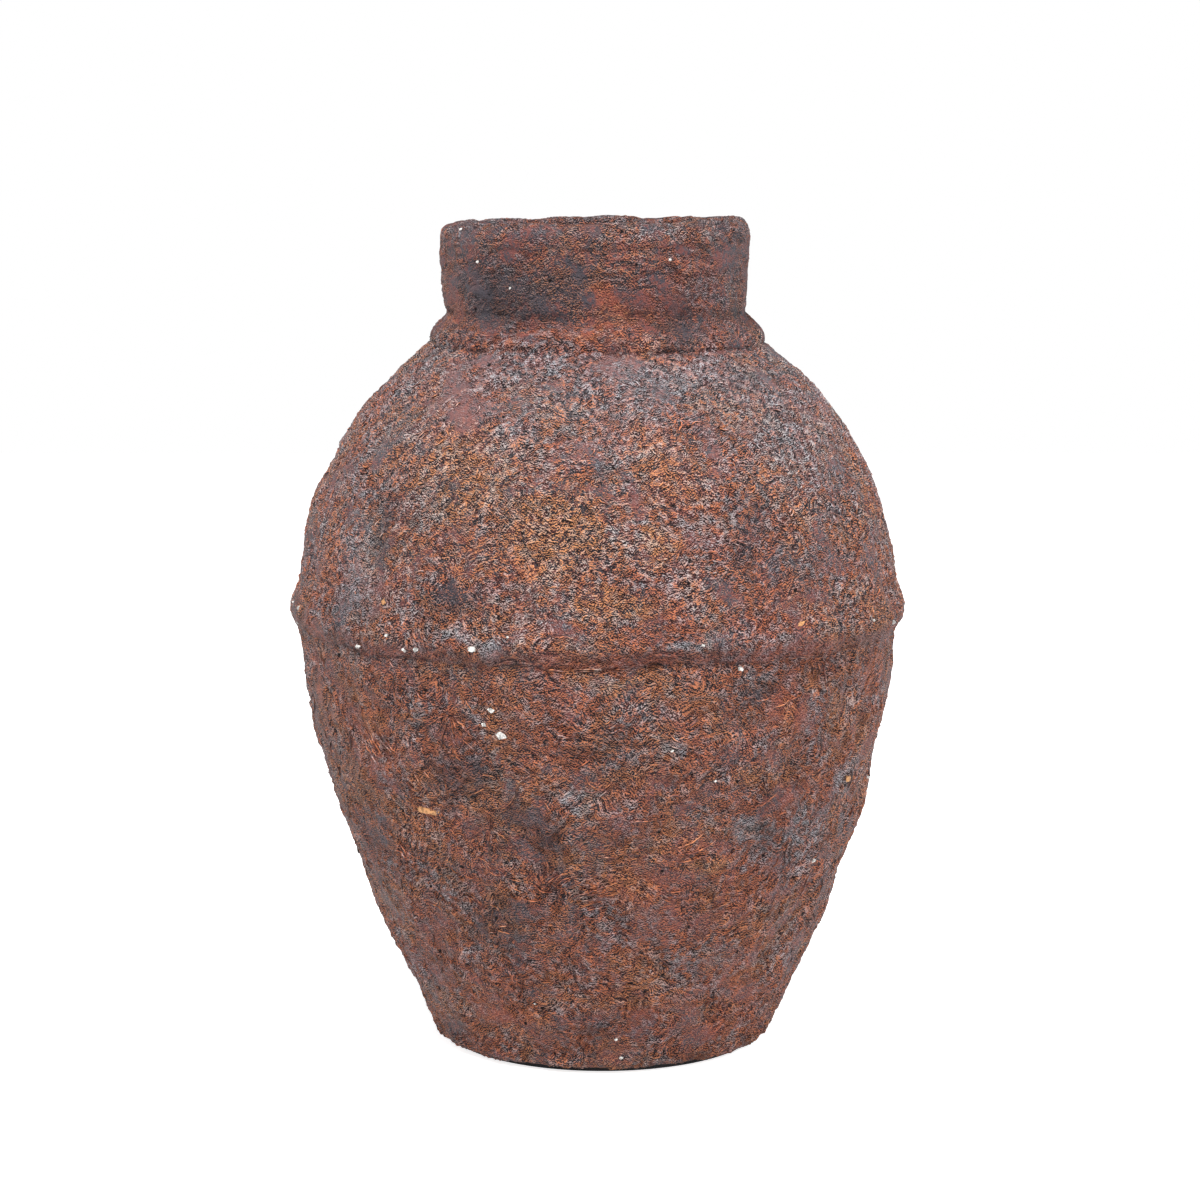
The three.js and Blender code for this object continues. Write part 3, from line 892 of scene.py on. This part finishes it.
def ridge_material():
    """Thin ridges of slip: dry brushed on top, with painted shade where they face down."""
    material, w, shader = new_material("brushed ridges")
    looks = coat()
    place = object_place(w)
    _, gold, _, pale = stains(w)
    tone = placed(w, dry_brush(), Place=place, Gold=gold, Pale=pale, Extra=-0.2)["Colour"]
    worn = w.ramp(w.noise(place, 2.4 * MM, detail=2.0), 0.56, 0.44, 0.0, 0.9)
    tone = w.mix(worn, tone, looks.umber)
    # Painted shade on the sides of the ridges that face down.
    facing = w.parts(w.add("ShaderNodeNewGeometry").outputs["Normal"])[2]
    tone = w.mix(w.ramp(facing, 0.5, -0.3, 0.0, 0.9), tone, looks.painted_shade)
    surface(w, shader, tone, 0.5, w.noise(place, 0.8 * MM, detail=1.0), 0.2 * MM, gloss=0.3)
    return material


def broken_face():
    """The colour and the relief of a chip's broken face, from its tint."""
    known = bpy.data.node_groups.get("broken face")
    if known:
        return known
    inputs = (("Place", "Vector"), ("Tint", "Color"), ("Stained", "Color"))
    outputs = (("Colour", "Color"), ("Height", "Float"))
    tree, w, given, result = new_group("broken face", "ShaderNodeTree", inputs, outputs)
    place = given["Place"]
    stain = w.ramp(w.noise(place, 1.8 * MM, detail=3.0, roughness=0.6), 0.44, 0.60)
    w.feed(result["Colour"], w.mix(stain, given["Tint"], given["Stained"]))
    w.feed(result["Height"], w.noise(place, 1.0 * MM, detail=2.0))
    return tree


def chip_material(name, tint):
    """A broken face of the named colour, stained in patches."""
    material, w, shader = new_material(name)
    stained = tuple(0.45 * c for c in tint)
    face = placed(w, broken_face(), Place=object_place(w), Tint=tint, Stained=stained)
    surface(w, shader, face["Colour"], 0.7, face["Height"], 0.3 * MM)
    return material


def bare_inside(w, place):
    """How bare the clay is: the coat runs over the lip and fades out inside the neck."""
    upward = w.parts(w.add("ShaderNodeAttribute", attribute_name="upward").outputs["Vector"])[2]
    inward = w.ramp(upward, 0.1, -0.3)
    edge = w.times_plus(w.noise(place, 9 * MM, detail=4.0, roughness=0.65), 24 * MM, -12 * MM)
    height = w.plus(w.parts(place)[2], edge)
    return w.times(inward, w.ramp(height, NECK_TOP - 11 * MM, NECK_TOP - 23 * MM))


def clay_colour():
    """Bare fired clay: patchy, ringed by the fingers that drew it up, with painted shade in its pores."""
    known = bpy.data.node_groups.get("fired clay")
    if known:
        return known
    outputs = (("Colour", "Color"), ("Grain", "Float"))
    tree, w, given, result = new_group("fired clay", "ShaderNodeTree", (("Place", "Vector"),), outputs)
    looks = coat()
    place = given["Place"]
    x, y, z = w.parts(place)
    patch = w.noise(place, 30 * MM, detail=4.0, roughness=0.6)
    rings = w.noise(w.joined(w.times(x, 0.06), w.times(y, 0.06), z), 5 * MM, detail=2.0)
    grain = w.noise(place, 1.4 * MM, detail=3.0, roughness=0.6)
    tone = w.mix(w.ramp(patch, 0.35, 0.65), tuple(0.55 * c for c in looks.clay), looks.clay)
    tone = w.mix(w.ramp(rings, 0.35, 0.65, 0.5, 0.0), tone, tuple(0.4 * c for c in looks.clay))
    w.feed(result["Colour"], w.mix(w.ramp(grain, 0.45, 0.30), tone, looks.painted_shade))
    w.feed(result["Grain"], grain)
    return tree


def clay_material():
    """Bare fired clay, dry and open."""
    material, w, shader = new_material("bare clay")
    clay = placed(w, clay_colour(), Place=rest_place(w))
    surface(w, shader, clay["Colour"], 0.85, clay["Grain"], 0.4 * MM)
    return material


def foam_material():
    """Black closed-cell foam."""
    material, w, shader = new_material("black foam")
    cells = w.cells(rest_place(w), 0.7 * MM)["Distance"]
    tone = w.mix(w.ramp(cells, 0.1, 0.7), (0.008, 0.008, 0.009), (0.03, 0.03, 0.033))
    surface(w, shader, tone, 0.9, cells, 0.2 * MM)
    return material


# Pieces

def make_lower_wall():
    sizes = form()
    foot_edge = sizes.foot_radius - sizes.foot_rounding
    foot_top = PAD_TOP + sizes.foot_rise
    rounding = [
        (foot_edge + sizes.foot_rounding * math.sin(turn), PAD_TOP + sizes.foot_rise * (1 - math.cos(turn)))
        for turn in (math.pi / 2 * i / 8 for i in range(8))
    ]
    outside = rounding + along(body_radius, foot_top, BAND_LOW + 2 * MM, 1.5 * MM) + [
        (body_radius(BELLY_HEIGHT) - 0.5 * MM, BELLY_HEIGHT)
    ]
    inside = [(cavity_radius(BELLY_HEIGHT), BELLY_HEIGHT)]
    inside += along(cavity_radius, BELLY_HEIGHT - 2 * MM, FLOOR_TOP + 10 * MM, 24 * MM)
    inside += [(FLOOR_RADIUS - 1 * MM, FLOOR_TOP - 1 * MM), (FLOOR_RADIUS - 5 * MM, PAD_TOP)]
    return turned_piece("lower_wall_coated", outside, inside, 616)


def make_shoulder_wall():
    sizes = form()
    start = BAND_TOP - 4 * MM
    outside = [(body_radius(BELLY_HEIGHT) - 0.5 * MM, BELLY_HEIGHT)]
    outside += along(body_radius, start, NECK_SEAT, 1.25 * MM)
    inside = [(sizes.bore_radius, NECK_SEAT)]
    inside += along(cavity_radius, NECK_SEAT - 8 * MM, BELLY_HEIGHT, 16 * MM)
    return turned_piece("shoulder_wall_coated", outside, inside, 720)


def make_girdle_band():
    sizes = form()
    crest = BELLY_HEIGHT + 1.5 * MM
    low = BAND_LOW - 1.2 * MM

    def band_radius(height):
        if height < crest:
            swell = math.sin(math.pi / 2 * (height - low) / (crest - low))
        else:
            swell = (1 + math.cos(math.pi * (height - crest) / (BAND_TOP - crest))) / 2
        return body_radius(height) - sizes.lap + (sizes.band_proud + sizes.lap) * swell

    outside = along(band_radius, low, BAND_TOP, 0.9 * MM)
    inside = [
        (body_radius(BAND_TOP) - 5 * MM, BAND_TOP),
        (body_radius(BELLY_HEIGHT) - 6 * MM, BELLY_HEIGHT),
        (body_radius(low) - 5 * MM, low),
    ]
    return turned_piece("girdle_band_coated", outside, inside, 860)


def make_neck_ring():
    sizes = form()
    side = RING_LOW + sizes.ring_side
    top = RING_TOP + sizes.ring_fillet
    root = neck_radius(RING_TOP) - 0.1 * MM

    def ring_radius(height):
        """An upright side whose top is round and runs out into the neck in a hollow curve."""
        part = max(0.0, (height - side) / (top - side))
        return root + (sizes.ring_radius - root) * (1 + math.cos(math.pi * part)) / 2

    outside = [(sizes.ring_radius - 2 * MM, RING_LOW - 0.5 * MM)]
    outside += along(ring_radius, RING_LOW, top, 1.0 * MM)
    inside = [(neck_radius(top) - 3 * MM, top), (neck_radius(NECK_SEAT) - 3 * MM, NECK_SEAT - 2 * MM)]
    return turned_piece("neck_ring_coated", outside, inside, 560)


def make_neck_wall():
    sizes = form()
    outside = along(neck_radius, NECK_SEAT + 4 * MM, NECK_TOP, 1.0 * MM)
    outside += [(neck_radius(NECK_TOP) - 3 * MM, NECK_TOP)]
    inside = even_points([(sizes.bore_radius, NECK_TOP), (sizes.bore_radius, NECK_SEAT)], 1.5 * MM)
    return turned_piece("neck_wall_coated", outside, inside, 500)


def make_rim_coil():
    sizes = form()
    crest = RIM_RADIUS - sizes.lip_crest_inset
    tall = RIM_TOP - NECK_TOP - sizes.lip_grain
    arc = []
    for i in range(37):
        turn = math.pi * i / 36
        reach = sizes.lip_crest_inset if i < 18 else crest - sizes.bore_radius
        across = math.copysign(abs(math.cos(turn)) ** 0.7, math.cos(turn))
        arc.append((crest + reach * across, NECK_TOP + tall * math.sin(turn) ** 0.55))
    outside = [(RIM_RADIUS - 3 * MM, NECK_TOP - 5 * MM), (RIM_RADIUS - 0.7 * MM, NECK_TOP - 4 * MM)]
    outside += even_points(arc, 0.8 * MM)
    outside += even_points([arc[-1], (sizes.bore_radius - 0.3 * MM, NECK_TOP - 6 * MM)], 0.9 * MM)[1:]
    back = sizes.bore_radius + 3 * MM
    inside = [(back, NECK_TOP - 6 * MM), (back, NECK_TOP - 1 * MM)]
    return turned_piece("rim_coil_coated", outside, inside, 560)


def make_floor_disc():
    """The floor, coved up at its edge."""
    edge = (FLOOR_RADIUS + 6 * MM, FLOOR_TOP + 3 * MM)
    top = even_points([edge, (FLOOR_RADIUS - 4 * MM, FLOOR_TOP), (0.0, FLOOR_TOP)], 3 * MM)
    under = [(FLOOR_RADIUS + 4 * MM, FLOOR_TOP - 6 * MM), (FLOOR_RADIUS - 6 * MM, PAD_TOP), (0.0, PAD_TOP)]
    return turned_piece("floor_disc_clay", top[::-1], under, 200)


def make_base_pad():
    """A disc of foam with its edges eased."""
    ease = 0.3 * MM
    edge = [
        (PAD_RADIUS - ease, 0.0),
        (PAD_RADIUS, 0.4 * MM),
        (PAD_RADIUS, PAD_TOP - 0.4 * MM),
        (PAD_RADIUS - ease, PAD_TOP),
    ]
    return turned_piece("base_pad_foam", [(0.0, 0.0)], edge + [(0.0, PAD_TOP)], 240)


# Marks that stand on the walls

# Thin ridges that the brush left, side by side: angle and height of their start, bearing (0 is right
# and 90 up), length, bend on the way, how many, the gap between them, and how far they fan out
SWEEPS = (
    (-50, 168, -65, 22, 30, 7, 2.0, 8), (-29, 181, -95, 15, 0, 6, 0.0, 110),
    (-39, 175.6, 12, 16, -20, 1, 0, 0), (-26.4, 142.6, 28, 17, 0, 1, 0, 0),
    (-16.4, 151.6, -88, 24, -80, 2, 1.4, 0), (-13.8, 153.8, -140, 11, 0, 1, 0, 0),
    (-22.6, 135, -95, 8, 10, 2, 1.2, 0), (-23.2, 128, -95, 18, 0, 5, 0.0, 100),
    (-7.8, 171.8, 10, 11, 0, 1, 0, 0), (-2.4, 143, 32, 14, 15, 2, 1.8, 0),
    (-12, 95.4, 75, 18, -70, 5, 2.0, 0), (-8.4, 90.6, 26, 26, -14, 7, 1.9, 6),
    (-34.5, 93.4, -20, 15, -20, 2, 2.0, 0), (-41.5, 202.7, -50, 6, 0, 1, 0, 0),
    (-39.2, 199, -100, 16, 40, 2, 2.5, 20), (12.9, 116, -12, 26, 60, 3, 2.2, 25),
    (43, 117.7, -85, 16, 25, 2, 3.0, 0), (20, 88.8, 5, 18, 50, 3, 2.2, 30),
    (-11, 203.6, 0, 11, 0, 2, 0.8, 0), (-6, 203.4, 2, 13, 0, 2, 0.8, 0), (0.5, 203.6, 0, 9, 0, 2, 0.8, 0),
    (30, 204.0, 2, 9, 0, 1, 0, 0), (36, 204.4, 2, 17, 0, 2, 0.8, 0),
)

# White grit in the coat: angle, height and width
WHITE_CHIPS = (
    (-60.1, 395.5, 2), (-49.3, 380.8, 2), (-34.6, 369, 1.5), (25.1, 382.2, 1.5), (-73.4, 217, 3),
    (-40.7, 214.8, 3), (-49.2, 207, 3), (-36.9, 209, 2.5), (-34.5, 209.8, 3), (-23.1, 212, 3.5),
    (-16.5, 218.2, 1.5), (17.8, 214, 2), (25.5, 202, 2.5), (59.9, 215.5, 2), (71.7, 210.8, 3),
    (-20.4, 184.2, 4), (-21.9, 177, 3), (-18.9, 172.5, 5.5), (12.9, 165.8, 2), (53.6, 101.5, 2.5),
    (-19.1, 37.2, 1.5), (4, 19, 2), (5.9, 8.8, 2.5), (22, 150, 1.2),
)

# Chips of bare clay: angle, height, width and how wide for their height
CLAY_CHIPS = ((-37.7, 132, 14, 4.0), (-43.2, 228.8, 3.5, 0.7), (37.7, 220.2, 6, 2.6), (59.8, 139.8, 5, 1.2))

LOW_RIDGES = 520  # loose ridges on the lower wall
HIGH_RIDGES = 420  # and on the shoulder
LOOSE_CHIPS = 70  # white grit where the photograph doesn't look
RIDGE_RADIUS = 0.48 * MM
RIDGE_RISE = 0.28 * MM  # a ridge's middle line over the wall
BODY_WALLS = ("lower_wall_coated", "girdle_band_coated", "shoulder_wall_coated")


class Skin:
    """Finds places on the finished walls."""

    def __init__(self, names):
        missing = [name for name in names if name not in bpy.data.objects]
        if missing:
            raise RuntimeError("Build the walls, the coils and the neck first")
        depsgraph = bpy.context.evaluated_depsgraph_get()
        self.trees = [BVHTree.FromObject(bpy.data.objects[name], depsgraph) for name in names]

    def spot(self, angle, height, rise=0.0):
        """The outermost point at an angle and a height, raised by rise."""
        outward = Vector((math.sin(angle), -math.cos(angle), 0))
        start = outward * 0.25 + Vector((0, 0, height))
        hits = [tree.ray_cast(start, -outward) for tree in self.trees]
        hits = [hit for hit in hits if hit[0]]
        if not hits:
            raise RuntimeError(f"No wall at {height / MM:.0f} mm")
        nearest = min(hits, key=lambda hit: hit[3])[0]
        normal = Vector((outward.x, outward.y, -slope_of(surface_radius, height))).normalized()
        return nearest + normal * rise


def ridge_line(chance, angle, height, bearing, length):
    """Walks over the surface from a place, and gives each step's angle and height.

    bearing is which way it sets off and how far it turns on the way."""
    step = 0.8 * MM
    count = max(4, round(length / step))
    line = []
    start, bend = bearing
    for i in range(count + 1):
        line.append((angle, height))
        turn = start + bend * i / count + chance.gauss(0, 0.16)
        slope = slope_of(surface_radius, height)
        angle += step * math.cos(turn) / surface_radius(height)
        height += step * math.sin(turn) / math.hypot(1, slope)
    return line


def sweep_lines(chance, sweep):
    """The lines of one sweep of the brush, side by side or fanned out."""
    angle, height, bearing, length, bend, count, gap, fan = sweep
    lines = []
    for i in range(count):
        aside = (i - (count - 1) / 2) * gap * MM * chance.uniform(0.8, 1.2)
        share = i / (count - 1) - 0.5 if count > 1 else 0.0
        turn = math.radians(bearing)
        first = math.radians(angle) - aside * math.sin(turn) / surface_radius(height * MM)
        low = height * MM + aside * math.cos(turn)
        way = turn + math.radians(fan) * share
        ahead = chance.uniform(1, 4) * MM if count > 1 else 0.0
        first += ahead * math.cos(way) / surface_radius(low)
        low += ahead * math.sin(way)
        reach = length * MM * chance.uniform(0.6, 1.0)
        lines.append(ridge_line(chance, first, low, (way, math.radians(bend)), reach))
    return lines


def all_sweeps(chance):
    """The listed sweeps and the loose ridges that chance puts all round the walls."""
    sweeps = list(SWEEPS)
    for _ in range(LOW_RIDGES):
        count, fan = chance.choice(((1, 0),) * 12 + ((2, 15), (2, 40), (3, 10), (4, 90)))
        length = chance.uniform(3, 12)
        place = (chance.uniform(-180, 180), chance.uniform(22, 192), chance.uniform(-180, 180))
        sweeps.append((*place, length, chance.uniform(-90, 90), count, 0 if fan > 30 else 1.8, fan))
    for _ in range(HIGH_RIDGES):
        place = (chance.uniform(-180, 180), chance.uniform(214, 325), chance.uniform(-180, 180))
        length, bend = chance.uniform(3, 7), chance.uniform(-90, 90)
        sweeps.append((*place, length, bend, chance.choice((1, 1, 2)), 1.8, 0))
    return sweeps


def make_ridges():
    """Draws every ridge as a thin curve on the walls, and makes one mesh of them."""
    chance = random.Random(31)
    sweeps = all_sweeps(chance)
    skin = Skin(BODY_WALLS)
    drawing = bpy.data.curves.new("brush_ridges", "CURVE")
    drawing.dimensions = "3D"
    drawing.bevel_depth = RIDGE_RADIUS
    drawing.bevel_resolution = 0
    drawing.use_fill_caps = True
    for sweep in sweeps:
        for line in sweep_lines(chance, sweep):
            line = [(angle, height) for angle, height in line if 12 * MM < height < 332 * MM]
            if len(line) < 4:
                continue
            thick = chance.uniform(0.6, 1.0)
            stroke = drawing.splines.new("POLY")
            stroke.points.add(len(line) - 1)
            for i, (angle, height) in enumerate(line):
                taper = math.sin(math.pi * (i + 0.5) / len(line)) ** 0.4
                stroke.points[i].co = (*skin.spot(angle, height, RIDGE_RISE), 1.0)
                stroke.points[i].radius = thick * taper * chance.uniform(0.75, 1.1)
    piece = bpy.data.objects.new("brush_ridges", drawing)
    bpy.context.collection.objects.link(piece)
    select_only(piece)
    bpy.ops.object.convert(target="MESH")
    bpy.ops.object.shade_smooth()
    return piece


def chips(name, skin, places, seed):
    """Angular chips set into the surface: angle, height, width and how wide for their height."""
    chance = random.Random(seed)
    flakes = []
    for angle, height, width, spread in places:
        turn = math.radians(angle)
        deselect_all()
        spin = Euler((0, 0, chance.uniform(-0.5, 0.5))).to_matrix()
        facing = Euler((math.pi / 2, 0, turn)).to_matrix() @ spin
        bpy.ops.mesh.primitive_cone_add(
            vertices=chance.choice((4, 5, 6)),
            radius1=width * MM * 0.6,
            radius2=width * MM * 0.3,
            depth=1.2 * MM,
            location=skin.spot(turn, height * MM, 0.1 * MM),
            rotation=facing.to_euler(),
            scale=(1.0, 1 / spread, 1.0),
        )
        flakes.append(bpy.context.object)
    for flake in flakes:
        flake.select_set(True)
    bpy.ops.object.join()
    piece = bpy.context.object
    piece.name = piece.data.name = name
    bpy.ops.object.transform_apply(location=True, rotation=True, scale=True)
    edit_all()
    bpy.ops.transform.vertex_random(offset=0.35 * MM, seed=seed)
    bpy.ops.mesh.subdivide(number_cuts=2, fractal=1.0, fractal_along_normal=0.3, seed=seed)
    bpy.ops.mesh.normals_make_consistent(inside=False)
    bpy.ops.object.mode_set(mode="OBJECT")
    bpy.ops.object.shade_flat()
    return piece


class VASE_OT_marks(bpy.types.Operator):
    """Sets the brush ridges and the chips on the finished walls"""

    bl_idname = "vase.marks"
    bl_label = "Ridges and chips"

    def execute(self, context):
        skin = Skin((*BODY_WALLS, "neck_wall_coated", "rim_coil_coated"))
        chance = random.Random(8)
        white = [(*chip, 1.3) for chip in WHITE_CHIPS]
        for _ in range(LOOSE_CHIPS):
            height = chance.choice((chance.uniform(8, 330), chance.uniform(205, 222)))
            white.append((chance.uniform(78, 282), height, chance.uniform(1, 2.5), 1.3))
        dress(add_stains(make_ridges()), ridge_material(), "coat")
        pale = chip_material("white grit", (0.80, 0.78, 0.74))
        dress(chips("white_chips", skin, white, 5), pale, "coat")
        orange = chip_material("clay chips", (0.62, 0.30, 0.12))
        dress(chips("clay_chips", skin, CLAY_CHIPS, 9), orange, "coat")
        return {"FINISHED"}


class VASE_OT_walls(bpy.types.Operator):
    """Builds the lower wall and the shoulder"""

    bl_idname = "vase.walls"
    bl_label = "Walls"

    def execute(self, context):
        dress(add_relief(make_lower_wall()), coat_material(), "coat", "lower_wall")
        dress(add_relief(make_shoulder_wall()), coat_material(), "coat", "shoulder_wall")
        return {"FINISHED"}


class VASE_OT_coils(bpy.types.Operator):
    """Builds the girdle band, the ring under the neck and the rolled rim"""

    bl_idname = "vase.coils"
    bl_label = "Band, ring and rim"

    def execute(self, context):
        dress(add_relief(make_girdle_band()), coat_material(), "coat", "girdle_band")
        dress(add_relief(make_neck_ring()), coat_material(), "coat", "neck_ring")
        dress(add_relief(make_rim_coil()), coat_material(), "coat", "rim_coil")
        return {"FINISHED"}


class VASE_OT_neck(bpy.types.Operator):
    """Builds the neck"""

    bl_idname = "vase.neck"
    bl_label = "Neck"

    def execute(self, context):
        dress(add_relief(make_neck_wall()), coat_material(), "coat", "neck_wall")
        return {"FINISHED"}


class VASE_OT_base(bpy.types.Operator):
    """Builds the floor disc and the foam pad under it"""

    bl_idname = "vase.base"
    bl_label = "Floor and pad"

    def execute(self, context):
        dress(add_relief(make_floor_disc()), clay_material(), "bare_clay", "floor_disc")
        dress(add_relief(make_base_pad()), foam_material(), "foam", "base_pad")
        return {"FINISHED"}


def white_material():
    """A pale floor that brightens away from the vase, so that no horizon shows."""
    material, w, shader = new_material("white floor")
    shader.inputs["Base Color"].default_value = (0.90, 0.90, 0.91, 1)
    shader.inputs["Roughness"].default_value = 0.9
    away = w.ramp(w.vector("LENGTH", object_place(w)), 0.10, 0.6, 0.78, 1.0)
    seen = w.add("ShaderNodeLightPath").outputs["Is Camera Ray"]
    shader.inputs["Emission Color"].default_value = (1, 1, 1, 1)
    w.feed(shader.inputs["Emission Strength"], w.between(seen, 0.35, away))
    return material


def area_light(name, place, target, width, height, power, tint=(1, 1, 1)):
    deselect_all()
    bpy.ops.object.light_add(type="AREA", location=place)
    light = bpy.context.object
    light.name = name
    light.rotation_euler = (Vector(target) - Vector(place)).to_track_quat("-Z", "Y").to_euler()
    light.data.shape = "RECTANGLE"
    light.data.size, light.data.size_y = width, height
    light.data.energy = power
    light.data.color = tint


class VASE_OT_stage(bpy.types.Operator):
    """Builds the floor, the studio light and the camera"""

    bl_idname = "vase.stage"
    bl_label = "Stage"

    def execute(self, context):
        wishes = stage()
        deselect_all()
        bpy.ops.mesh.primitive_plane_add(size=2 * wishes.backdrop, location=(0, 0, 0))
        floor = context.object
        floor.name = "studio_floor"
        floor.data.materials.append(white_material())

        world = bpy.data.worlds.new("white studio")
        world.use_nodes = True
        w = Wiring(world.node_tree)
        sky = world.node_tree.nodes["Background"]
        sky.inputs["Color"].default_value = (1.0, 1.0, 1.0, 1.0)
        seen = w.add("ShaderNodeLightPath").outputs["Is Camera Ray"]
        w.feed(sky.inputs["Strength"], w.between(seen, wishes.world_light, 1.0))
        context.scene.world = world

        area_light("left_softbox", (-1.5, -0.7, 0.9), (0, 0, 0.2), 0.5, 1.0, 4)
        area_light("right_softbox", (1.4, -0.7, 0.9), (0, 0, 0.2), 0.5, 1.0, 14)
        area_light("top_softbox", (-0.2, -0.9, 1.7), (0, 0, 0.15), 0.5, 0.5, 36)
        for name, side in (("left_edge_light", -1), ("right_edge_light", 1)):
            area_light(name, (1.3 * side, 0.9, 0.5), (0, 0, 0.2), 0.6, 1.2, 7, (0.88, 0.94, 1.0))

        bpy.ops.object.camera_add(
            location=(-wishes.camera_side, -wishes.camera_distance, wishes.camera_height),
            rotation=(math.pi / 2 - wishes.camera_pitch, 0, 0),
        )
        camera = context.object
        camera.data.sensor_width = 36.0
        camera.data.lens = wishes.lens
        camera.data.clip_start = 0.05
        context.scene.camera = camera
        context.scene.view_settings.view_transform = "Standard"
        return {"FINISHED"}


class VASE_PT_panel(bpy.types.Panel):
    """Lists the vase's pieces in the order in which they are built"""

    bl_label = "Clay vase"
    bl_idname = "VASE_PT_panel"
    bl_space_type = "VIEW_3D"
    bl_region_type = "UI"
    bl_category = "Vase"

    def draw(self, context):
        for group in (context.scene.vase_form, context.scene.vase_coat, context.scene.vase_stage):
            for name in group.__annotations__:
                self.layout.prop(group, name)
        for operator in OPERATORS:
            self.layout.operator(operator.bl_idname)


GROUPS = {"vase_form": VaseForm, "vase_coat": VaseCoat, "vase_stage": VaseStage}
OPERATORS = (VASE_OT_walls, VASE_OT_coils, VASE_OT_neck, VASE_OT_base, VASE_OT_marks, VASE_OT_stage)


def register():
    for kind in (*GROUPS.values(), *OPERATORS, VASE_PT_panel):
        bpy.utils.register_class(kind)
    for name, kind in GROUPS.items():
        setattr(bpy.types.Scene, name, PointerProperty(type=kind))


def unregister():
    for name in GROUPS:
        delattr(bpy.types.Scene, name)
    for kind in (VASE_PT_panel, *OPERATORS, *GROUPS.values()):
        bpy.utils.unregister_class(kind)


def main():
    register()
    bpy.ops.vase.walls()
    bpy.ops.vase.coils()
    bpy.ops.vase.neck()
    bpy.ops.vase.base()
    bpy.ops.vase.marks()
    bpy.ops.vase.stage()


if __name__ == "__main__":
    main()
